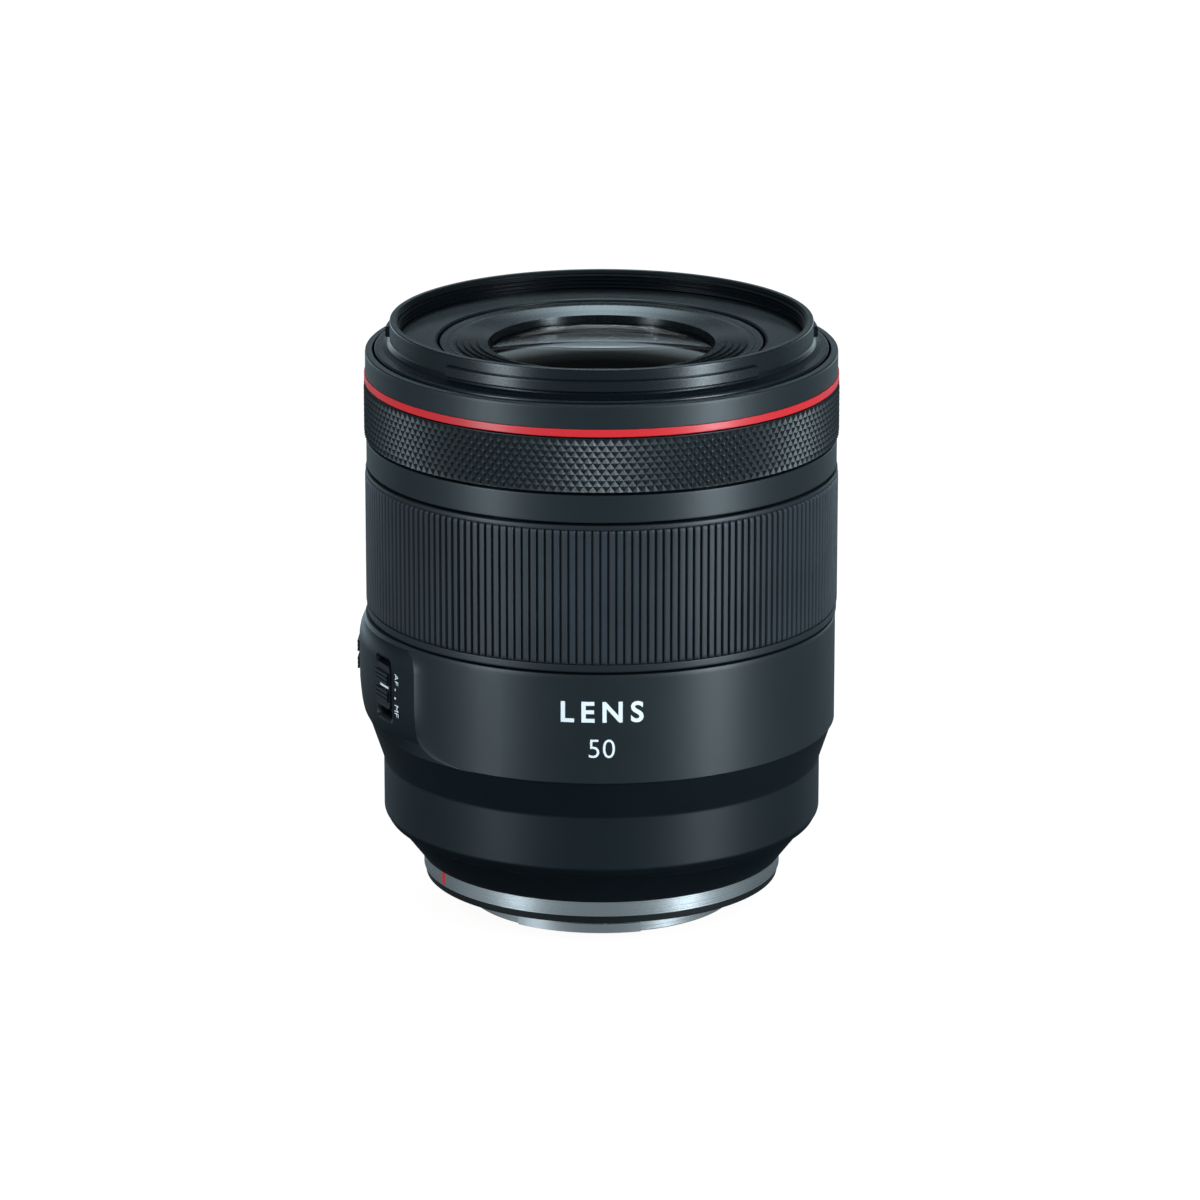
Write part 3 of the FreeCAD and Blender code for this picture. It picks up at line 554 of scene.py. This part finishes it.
def focus_ring(looks):
    """Metal sleeve with a lip at each end, and the rubber grip's ribs between the lips."""
    low, high = node_z("focus_ring")
    grip_low, grip_high = node_z("focus_grip")
    lip = 44.78
    sleeve = 43.5
    tube = [(42.25, low), (lip, low, 0.3), (lip, grip_low, 0.12), (sleeve, grip_low),
            (sleeve, grip_high), (lip, grip_high, 0.12), (lip, high, 0.3), (42.25, high)]
    turned_skin("focus_ring", tube, looks["focus_metal"], "focus_ring")
    ribs, tip = 191, node_r("focus_grip")
    depth = 0.6
    wave = ((0.0, 0.0), (0.16, 0.0), (0.24, 0.72), (0.31, 0.95), (0.58, 1.0), (0.85, 0.95),
            (0.92, 0.72))     # share of a rib's pitch, share of its height
    ends = ((0.0, 0.0), (0.06, 0.45), (0.22, 0.8), (0.5, 0.97), (0.9, 1.0))
    levels = [(grip_low + offset, share) for offset, share in ends]
    levels += [(grip_high - offset, share) for offset, share in reversed(ends)]
    verts = []
    for z, share in levels:
        for rib in range(ribs):
            for part, height in wave:
                radius = tip - depth + depth * height * share
                verts.append(at(radius, TURN * (rib + part) / ribs, z))
    for z in (grip_high, grip_low):
        for rib in range(ribs):
            for part, _ in wave:
                verts.append(at(sleeve, TURN * (rib + part) / ribs, z))
    faces = ring_faces(len(levels) + 2, ribs * len(wave))
    grip = add_piece("focus_grip_ribs", verts, faces, looks["grip_rubber"], 40.0)
    install(grip, "focus_ring", "focus_grip")


# ---------------------------------------------------------------- body shell and rear barrel

SHELL_R = 44.6
SEAT_Z = 29.95                 # lower edge of the shell
PANEL_EDGE = 28.75             # half width of the switch panel, in degrees
PANEL_TOP = 50.2
PANEL_SHIFT = 8.5              # the panel's face is turned about an axis shifted towards it
TOP_CORNER = 3.7               # radius of the panel's top corners
FOOT_HEIGHT = 4.6              # of the curve that spreads the panel's edge at the seat
FOOT_REACH = 13.0
FLARE = 4.6                    # width of the shell's flare beside the panel
PANEL_PROFILE = ((23.0, 41.9), (32.0, 45.4), (33.2, 45.72), (34.6, 45.98), (38.0, 46.33),
                 (43.0, 46.37), (47.2, 46.33), (48.6, 46.1), (49.6, 45.75),
                 (PANEL_TOP, 45.4))    # (z, radius) up the middle of the panel


def panel_radius(z, offset=0.0):
    """Radius of the panel's face at a height and at an angle from the panel's middle."""
    middle = PANEL_PROFILE[-1][1]
    for (low, r_low), (high, r_high) in zip(PANEL_PROFILE, PANEL_PROFILE[1:]):
        if z <= high:
            middle = r_low + (r_high - r_low) * max(0.0, (z - low) / (high - low))
            break
    turn = math.radians(offset)
    return (PANEL_SHIFT * math.cos(turn)
            + math.sqrt((middle - PANEL_SHIFT) ** 2 - (PANEL_SHIFT * math.sin(turn)) ** 2))


def edge_shift(z):
    """Sideways shift of the panel's edge: out at its foot, in at its top corner."""
    if z < SEAT_Z + FOOT_HEIGHT:
        drop = (SEAT_Z + FOOT_HEIGHT - z) / FOOT_HEIGHT
        return FOOT_REACH * (1.0 - math.sqrt(max(0.0, 1.0 - drop ** 2)))
    if z > PANEL_TOP - TOP_CORNER:
        rise = z - PANEL_TOP + TOP_CORNER
        return math.sqrt(max(0.0, TOP_CORNER ** 2 - rise ** 2)) - TOP_CORNER
    return 0.0


def degrees_along(distance):
    """Angle that a distance takes up round the shell."""
    return math.degrees(distance / SHELL_R)


def eased_rows():
    """Heights from the seat to the panel's top, close together in its curved corners."""
    foot = [SEAT_Z + FOOT_HEIGHT * (1.0 - math.cos(math.pi / 2 * k / 16)) for k in range(17)]
    top_start = PANEL_TOP - TOP_CORNER
    top = [top_start + TOP_CORNER * math.sin(math.pi / 2 * k / 10) for k in range(11)]
    straight = [foot[-1] + (top_start - foot[-1]) * k / 6 for k in range(1, 6)]
    return foot + straight + top


def closed_sheet(name, outer, inner, look, smooth_angle=32.0):
    """Closed solid between two grids of points with the same rows and columns."""
    rows, columns = len(outer), len(outer[0])
    verts = [p for row in outer for p in row] + [p for row in inner for p in row]
    shift = rows * columns
    faces = []
    for j in range(rows - 1):
        for k in range(columns - 1):
            a = j * columns + k
            b = a + columns
            faces.append((a, a + 1, b + 1, b))
            faces.append((shift + a, shift + b, shift + b + 1, shift + a + 1))
    for k in range(columns - 1):
        last = (rows - 1) * columns + k
        faces.append((k, shift + k, shift + k + 1, k + 1))
        faces.append((last, last + 1, shift + last + 1, shift + last))
    for j in range(rows - 1):
        a = j * columns
        b = a + columns
        faces.append((a, b, shift + b, shift + a))
        c, d = a + columns - 1, b + columns - 1
        faces.append((c, shift + c, shift + d, d))
    return add_piece(name, verts, faces, look, smooth_angle)


def flare_radius(distance, z):
    """Outer radius of the shell at a distance from the panel, whose edge it just overtops."""
    lip = 0.22
    share = max(0.0, 1.0 - distance / FLARE)
    rise = max(0.0, panel_radius(z, PANEL_EDGE) - SHELL_R) + lip
    return SHELL_R + rise * share ** 3


def body_shell(looks):
    """Shell wrapped round the barrel from one edge of the panel to the other, and its collar."""
    near = [0.0, 0.05, 0.1, 0.2, 0.35, 0.6, 1.0, 1.5, 2.1, 2.8, 3.6, 4.5, 5.5, 6.6, 8.0, 10.0,
            13.0, 16.0]       # stations beside the panel, where the shell curves most
    span = math.radians(TURN - 2 * PANEL_EDGE) * SHELL_R
    fade = 20.0               # the edge's curve dies out over this distance
    middle_count = 250
    middle = [fade + (span - 2 * fade) * k / middle_count for k in range(middle_count + 1)]
    stations = near + middle + [span - d for d in reversed(near)]
    outer, inner = [], []
    bevel, edge_break, wall_r = 0.18, 0.05, 42.7
    heights = eased_rows()
    foot = heights[0]
    heights = [foot, foot + bevel] + [z for z in heights if z > foot + bevel * 1.5]
    for index, z in enumerate(heights):
        shift = edge_shift(z)
        outer_row, inner_row = [], []
        for s in stations:
            from_edge = min(s, span - s)
            side = 1.0 if s < span / 2 else -1.0
            weight = max(0.0, 1.0 - from_edge / fade)
            place = s + side * shift * weight
            angle = PANEL_ANGLE + PANEL_EDGE + degrees_along(place)
            radius = flare_radius(from_edge, z)
            if from_edge < edge_break:
                radius -= edge_break
            if index == 0:
                radius -= bevel
            outer_row.append(at(radius, angle, z))
            inner_row.append(at(wall_r, angle, z))
        outer.append(outer_row)
        inner.append(inner_row)
    install(closed_sheet("body_shell_skin", outer, inner, looks["satin_black"]), "barrel",
            "body_shell")
    body_shell_collar(looks)


def body_shell_collar(looks):
    """Top band of the shell, which bridges the switch panel and follows its bulge."""
    top = node_z("body_shell")[1]
    levels = ((PANEL_TOP, 0.0), (top - 0.25, 0.0), (top - 0.07, 0.06), (top, 0.25))
    columns = 720
    shrink = 0.35             # share of the bulge that is gone at the very top
    verts = []
    for z, inset in levels:
        for k in range(columns):
            angle = TURN * k / columns
            offset = abs((angle - PANEL_ANGLE + 180.0) % TURN - 180.0)
            drop = 1.0 - shrink * (z - PANEL_TOP) / (top - PANEL_TOP)
            rise = max(0.0, panel_radius(PANEL_TOP, offset) - SHELL_R) * drop
            verts.append(at(SHELL_R + rise - inset, angle, z))
    for z in (top, PANEL_TOP):
        for k in range(columns):
            verts.append(at(42.1, TURN * k / columns, z))
    faces = ring_faces(len(levels) + 2, columns)
    collar = add_piece("body_shell_collar", verts, faces, looks["satin_black"])
    install(collar, "barrel")


def cut_with(piece, cutter):
    """Cut a solid away from a piece for good."""
    modifier = piece.modifiers.new("cut", "BOOLEAN")
    modifier.operation = "DIFFERENCE"
    modifier.solver = "EXACT"
    modifier.object = cutter
    bpy.context.view_layer.update()
    shaped = bpy.data.meshes.new_from_object(
        piece.evaluated_get(bpy.context.evaluated_depsgraph_get()))
    piece.modifiers.clear()
    old = piece.data
    name = old.name
    piece.data = shaped
    bpy.data.meshes.remove(old)
    shaped.name = name
    bpy.data.objects.remove(cutter)


def slot_cutter(angle, look):
    """Upright rounded block that cuts a switch slot."""
    width, z_low, z_high, corner = 6.2, 35.5, 47.3, 0.9
    outline = []
    for y, z, start in ((1, 1, 0), (-1, 1, 90), (-1, -1, 180), (1, -1, 270)):
        for k in range(7):
            turn = math.radians(start + 15 * k)
            outline.append((y * (width / 2 - corner) + corner * math.cos(turn),
                            (z_low + z_high) / 2 + z * ((z_high - z_low) / 2 - corner)
                            + corner * math.sin(turn)))
    verts = []
    turn = Matrix.Rotation(math.radians(angle), 3, "Z")
    for radius in (42.9, 50.0):
        verts += [tuple(turn @ Vector((radius, y, z))) for y, z in outline]
    size = len(outline)
    faces = [tuple(range(size)), tuple(size + k for k in reversed(range(size)))]
    for k in range(size):
        n = (k + 1) % size
        faces.append((k, n, size + n, size + k))
    return add_piece("slot_cutter", verts, faces, look)


def rear_barrel(looks):
    """Lower barrel as one turned piece, and the switch panel above it."""
    outline = [(34.6, 3.4, 0.1), (39.4, 9.6, 0.8), (41.0, 10.75, 0.9), (41.8, 12.2, 1.2),
               (41.8, 22.5, 1.5), (44.3, SEAT_Z - 0.05), (40.2, SEAT_Z), (40.0, 26.8),
               (40.0, 13.5), (38.2, 11.8), (33.4, 5.6), (28.2, 5.6), (28.2, 3.4)]
    turned_skin("rear_barrel", outline, looks["rear_black"], "barrel")
    switch_panel(looks)


def switch_panel(looks):
    """Panel that grows out of the barrel's cone, fills the shell's gap and holds two slots."""
    columns = 120
    outer, inner = [], []
    seam = 0.05                # between the panel and the shell
    seat_r, cone_slope = 44.28, 0.338
    blend_height = 2.5         # over which the cone turns into the panel's face
    heights = [24.0, 26.0, 28.0, 29.4] + eased_rows()
    for z in heights:
        shift = edge_shift(max(z, SEAT_Z))
        half = PANEL_EDGE + degrees_along(shift - seam)
        above = z - SEAT_Z
        cone = seat_r + cone_slope * above
        backing = seat_r - 0.08 - 0.5 * min(1.0, above / 1.5)
        share_up = min(1.0, max(0.0, above / blend_height))
        outer_row, inner_row = [], []
        for k in range(columns + 1):
            share = 2.0 * k / columns - 1.0
            angle = PANEL_ANGLE + half * share
            face = panel_radius(z, half * share)
            radius = max(cone + (face - cone) * share_up, backing) if above >= 0.0 else cone - 0.3
            outer_row.append(at(radius, angle, z))
            inner_row.append(at(min(43.5, radius - 0.7), angle, z))
        outer.append(outer_row)
        inner.append(inner_row)
    panel = closed_sheet("switch_panel", outer, inner, looks["rear_black"])
    for angle in (MODE_ANGLE, LIMIT_ANGLE):
        cut_with(panel, slot_cutter(angle, looks["rear_black"]))
    install(panel, "barrel")


# ---------------------------------------------------------------- printed marks

def wrapped_text(name, words, size, angle, z, radius, look, sideways=False, spacing=1.0,
                 weight=0.0):
    """Raised print: text bent onto the barrel; sideways text reads downwards."""
    curve = bpy.data.curves.new(name, "FONT")
    curve.body = words
    curve.size = size * MM
    curve.align_x = "CENTER"
    curve.align_y = "CENTER"
    curve.space_character = spacing
    curve.extrude = 0.02 * MM
    curve.offset = weight * MM
    curve.resolution_u = 6
    source = place_in_scene(name + "_source", curve)
    bpy.context.view_layer.update()
    mesh = bpy.data.meshes.new_from_object(
        source.evaluated_get(bpy.context.evaluated_depsgraph_get()))
    bpy.data.objects.remove(source)
    bpy.data.curves.remove(curve)
    for vertex in mesh.vertices:
        across, up, out = (value / MM for value in vertex.co)
        if sideways:
            across, up = up, -across
        place = at(radius + out, angle + math.degrees(across / radius), z + up)
        vertex.co = Vector(place) * MM
    mesh.name = name
    mesh.materials.clear()
    mesh.materials.append(look)
    return install(place_in_scene(name, mesh), "barrel")


def dash(name, angle, z_low, z_high, width, radius, look, body="barrel"):
    """Small printed bar that follows the barrel."""
    foot, face = radius - 0.05, radius + 0.03
    outline = [(foot, z_low), (face, z_low), (face, z_high), (foot, z_high)]
    sweep = math.degrees(width / radius)
    return install(lathe(name, outline, look, 6, angle - sweep / 2, sweep), body)


def printed_marks(looks):
    """Generic word and focal length on the front; labels and dots beside the mode switch."""
    white = looks["white_print"]
    lift = 0.01
    wrapped_text("word_mark", "LENS", 5.5, FRONT_ANGLE, 43.75, SHELL_R + lift, white,
                 spacing=1.42, weight=0.13)
    wrapped_text("focal_length", "50", 5.2, FRONT_ANGLE, 36.7, SHELL_R + lift, white,
                 spacing=1.05, weight=-0.03)
    side = MODE_ANGLE + 5.95
    face = panel_radius(42.0, PANEL_ANGLE - side) + lift
    wrapped_text("auto_label", "AF", 2.0, side, 44.05, face, white, True)
    wrapped_text("manual_label", "MF", 2.0, side, 37.9, face, white, True)
    half = 0.2
    for number, z in enumerate((42.0, 40.3), start=1):
        dash("mode_mark_%d" % number, side - 0.75, z - half, z + half, 0.9, face, white)


def switch_lines(looks):
    """White index line on each knob, in the gap between its two sets of ridges."""
    low, high, width, knob_face = 41.6, 42.0, 3.9, 45.93
    for node, angle in (("focus_mode_switch", MODE_ANGLE), ("focus_limit_switch", LIMIT_ANGLE)):
        dash(node + "_line", angle + 0.9, low, high, width, knob_face, looks["white_print"], node)


# ---------------------------------------------------------------- mount

def mount_seal(looks):
    """Thin rubber lip round the mount's flange."""
    seal = [(33.0, 0.05), (33.5, -0.95, 0.1), (33.85, -1.0, 0.12), (33.93, 0.2, 0.1), (33.9, 1.6),
            (33.0, 1.6)]
    turned_skin("mount_seal", seal, looks["seal_rubber"], "barrel")


def dress_cad_nodes(looks):
    """Give every carried-over CAD node its procedural material, by the record's slots."""
    slots = {entry["node"]: entry["material_slot"] for entry in frame["record"]["subparts"]}
    for name, node in frame["nodes"].items():
        node.data.materials.clear()
        node.data.materials.append(looks[slots[name]])


# ---------------------------------------------------------------- studio

def aim(thing, target):
    """Turn a light so that it faces a target."""
    direction = Vector(target) - thing.location
    thing.rotation_euler = direction.to_track_quat("-Z", "Y").to_euler()


STRIP_SIZE = (0.16, 1.08)      # metres, like the rest of the studio
STRIP_DISTANCE = 0.75
STRIP_Z = 0.40
STRIP_COLOR = (0.76, 0.91, 1.0)
FLOOR_SIZE = 40.0
FLOOR_GAP = 0.0002             # below the lowest point of the lens


def strip_light(name, azimuth, power):
    """Upright softbox; azimuth is measured from the camera's side."""
    turn = math.radians(azimuth)
    data = bpy.data.lights.new(name, "AREA")
    data.shape = "RECTANGLE"
    data.size, data.size_y = STRIP_SIZE
    data.energy = power
    data.color = STRIP_COLOR
    light = place_in_scene(name, data)
    light.location = (STRIP_DISTANCE * math.sin(turn), -STRIP_DISTANCE * math.cos(turn), STRIP_Z)
    aim(light, (0.0, 0.0, STRIP_Z))
    light.visible_camera = False


def studio():
    """Pale floor that only the camera sees, a soft sky light and two upright softboxes."""
    floor_z = CAD_BOX[0][2] - FLOOR_GAP
    bpy.ops.mesh.primitive_grid_add(x_subdivisions=8, y_subdivisions=8, size=FLOOR_SIZE,
                                    location=(0.0, 0.0, floor_z))
    floor = bpy.context.object
    floor.name = "floor"
    made, tree, shader = material("floor_paper", (0.12, 0.12, 0.12), 0.9, specular=0.0)
    drift = noise(tree, texture_place(tree), 6.0)
    tint(tree, drift, (0.118, 0.12, 0.12), (0.122, 0.122, 0.12), shader)
    shader.inputs["Emission Color"].default_value = (0.99, 0.985, 0.975, 1.0)
    shader.inputs["Emission Strength"].default_value = 0.95
    floor.data.materials.append(made)
    floor.visible_glossy = False
    floor.visible_diffuse = False
    floor.visible_transmission = False
    floor.visible_shadow = False
    sun = bpy.data.lights.new("sky", "SUN")
    sun.energy = 1.2
    sun.angle = math.radians(120.0)
    sky = place_in_scene("sky", sun)
    sky.visible_glossy = False
    strip_light("strip_left", -53.0, 6.2)
    strip_light("strip_right", 54.0, 10.2)
    studio_world()


def ramp_of(tree, value, stops):
    """Colour ramp over a -1 to 1 value, from (value, level) stops."""
    half = tree.nodes.new("ShaderNodeMath")
    half.operation = "MULTIPLY_ADD"
    half.inputs[1].default_value = 0.5
    half.inputs[2].default_value = 0.5
    tree.links.new(value, half.inputs[0])
    ramp = tree.nodes.new("ShaderNodeValToRGB")
    elements = ramp.color_ramp.elements
    while len(elements) > 1:
        elements.remove(elements[-1])
    for index, (place, level) in enumerate(stops):
        stop = elements[0] if index == 0 else elements.new((place + 1.0) / 2.0)
        stop.position = (place + 1.0) / 2.0
        stop.color = (level, level, level, 1.0)
    tree.links.new(half.outputs["Value"], ramp.inputs["Fac"])
    return ramp.outputs["Color"]


def combined(tree, operation, first, second):
    """Result of a maths node on a socket and on a second socket or a number."""
    node = tree.nodes.new("ShaderNodeMath")
    node.operation = operation
    tree.links.new(first, node.inputs[0])
    if isinstance(second, float):
        node.inputs[1].default_value = second
    else:
        tree.links.new(second, node.inputs[1])
    return node.outputs["Value"]


def product(tree, first, second):
    return combined(tree, "MULTIPLY", first, second)


def studio_world():
    """Dim surround, a low band and two panels behind the lens, a pale backdrop for the camera."""
    world = bpy.data.worlds.new("studio")
    bpy.context.scene.world = world
    world.use_nodes = True
    tree = world.node_tree
    background = tree.nodes["Background"]
    place = tree.nodes.new("ShaderNodeTexCoord")
    split = tree.nodes.new("ShaderNodeSeparateXYZ")
    tree.links.new(place.outputs["Generated"], split.inputs["Vector"])
    surround = ramp_of(tree, split.outputs["Z"], (
        (-0.75, 0.006), (-0.58, 0.02), (-0.46, 0.13), (-0.30, 0.34), (-0.05, 0.22), (0.10, 0.08),
        (0.25, 0.05), (0.60, 0.10), (1.0, 0.25)))
    band = ramp_of(tree, split.outputs["Z"], (
        (-0.205, 0.0), (-0.19, 1.0), (-0.08, 0.65), (0.05, 0.22), (0.14, 0.05), (0.25, 0.0)))
    behind = ramp_of(tree, split.outputs["Y"], ((0.35, 0.0), (0.7, 0.5), (0.9, 1.0), (1.0, 1.0)))
    low_band = product(tree, product(tree, band, behind), 2.4)
    far_side = ramp_of(tree, split.outputs["Y"], ((0.3, 0.0), (0.6, 1.0)))
    lower = ramp_of(tree, split.outputs["Z"], (
        (0.28, 0.0), (0.30, 0.85), (0.35, 0.60), (0.42, 0.10), (0.5, 0.0)))
    lower_width = ramp_of(tree, split.outputs["X"], (
        (-0.40, 0.0), (-0.24, 0.7), (-0.1, 1.0), (0.1, 1.0), (0.24, 0.7), (0.40, 0.0)))
    upper = ramp_of(tree, split.outputs["Z"], (
        (0.56, 0.0), (0.62, 5.0), (0.74, 7.5), (0.86, 12.0), (0.97, 10.0)))
    upper_width = ramp_of(tree, split.outputs["X"], (
        (-0.34, 0.0), (-0.14, 0.22), (-0.04, 1.0), (0.04, 1.0), (0.14, 0.22), (0.34, 0.0)))
    away = ramp_of(tree, split.outputs["Y"], ((0.1, 1.0), (0.4, 0.58), (0.8, 0.42), (1.0, 0.42)))
    parts = [product(tree, surround, away), low_band]
    for height, across in ((lower, lower_width), (upper, upper_width)):
        parts.append(product(tree, product(tree, height, across), far_side))
    total = parts[0]
    for part in parts[1:]:
        total = combined(tree, "ADD", total, part)
    shade = tree.nodes.new("ShaderNodeMix")
    shade.data_type = "RGBA"
    shade.blend_type = "MULTIPLY"
    shade.inputs["Factor"].default_value = 1.0
    tree.links.new(total, shade.inputs["A"])
    shade.inputs["B"].default_value = (0.70, 0.90, 1.0, 1.0)
    path = tree.nodes.new("ShaderNodeLightPath")
    choose = tree.nodes.new("ShaderNodeMix")
    choose.data_type = "RGBA"
    choose.inputs["B"].default_value = (0.98, 0.985, 0.99, 1.0)
    tree.links.new(path.outputs["Is Camera Ray"], choose.inputs["Factor"])
    tree.links.new(shade.outputs["Result"], choose.inputs["A"])
    tree.links.new(choose.outputs["Result"], background.inputs["Color"])


CAMERA_PLACE = (0.0, -1.17306, 0.39666)
LOOK_DOWN = 16.35
LOOK_LEFT = 0.0148


def camera():
    data = bpy.data.cameras.new("camera")
    data.lens = 192.0
    data.sensor_width = 36.0
    data.clip_start = 0.01
    data.clip_end = 100.0
    eye = place_in_scene("camera", data)
    eye.location = CAMERA_PLACE
    eye.rotation_euler = (math.radians(90.0 - LOOK_DOWN), 0.0, math.radians(LOOK_LEFT))
    bpy.context.scene.camera = eye


# ---------------------------------------------------------------- build

bpy.context.scene.view_settings.view_transform = "Standard"
LOOKS = make_materials()
dress_cad_nodes(LOOKS)
filter_barrel(LOOKS)
filter_thread(LOOKS)
front_rings(LOOKS)
front_funnel(LOOKS)
front_glass(LOOKS)
control_ring(LOOKS)
focus_ring(LOOKS)
body_shell(LOOKS)
rear_barrel(LOOKS)
mount_seal(LOOKS)
printed_marks(LOOKS)
switch_lines(LOOKS)
studio()
camera()
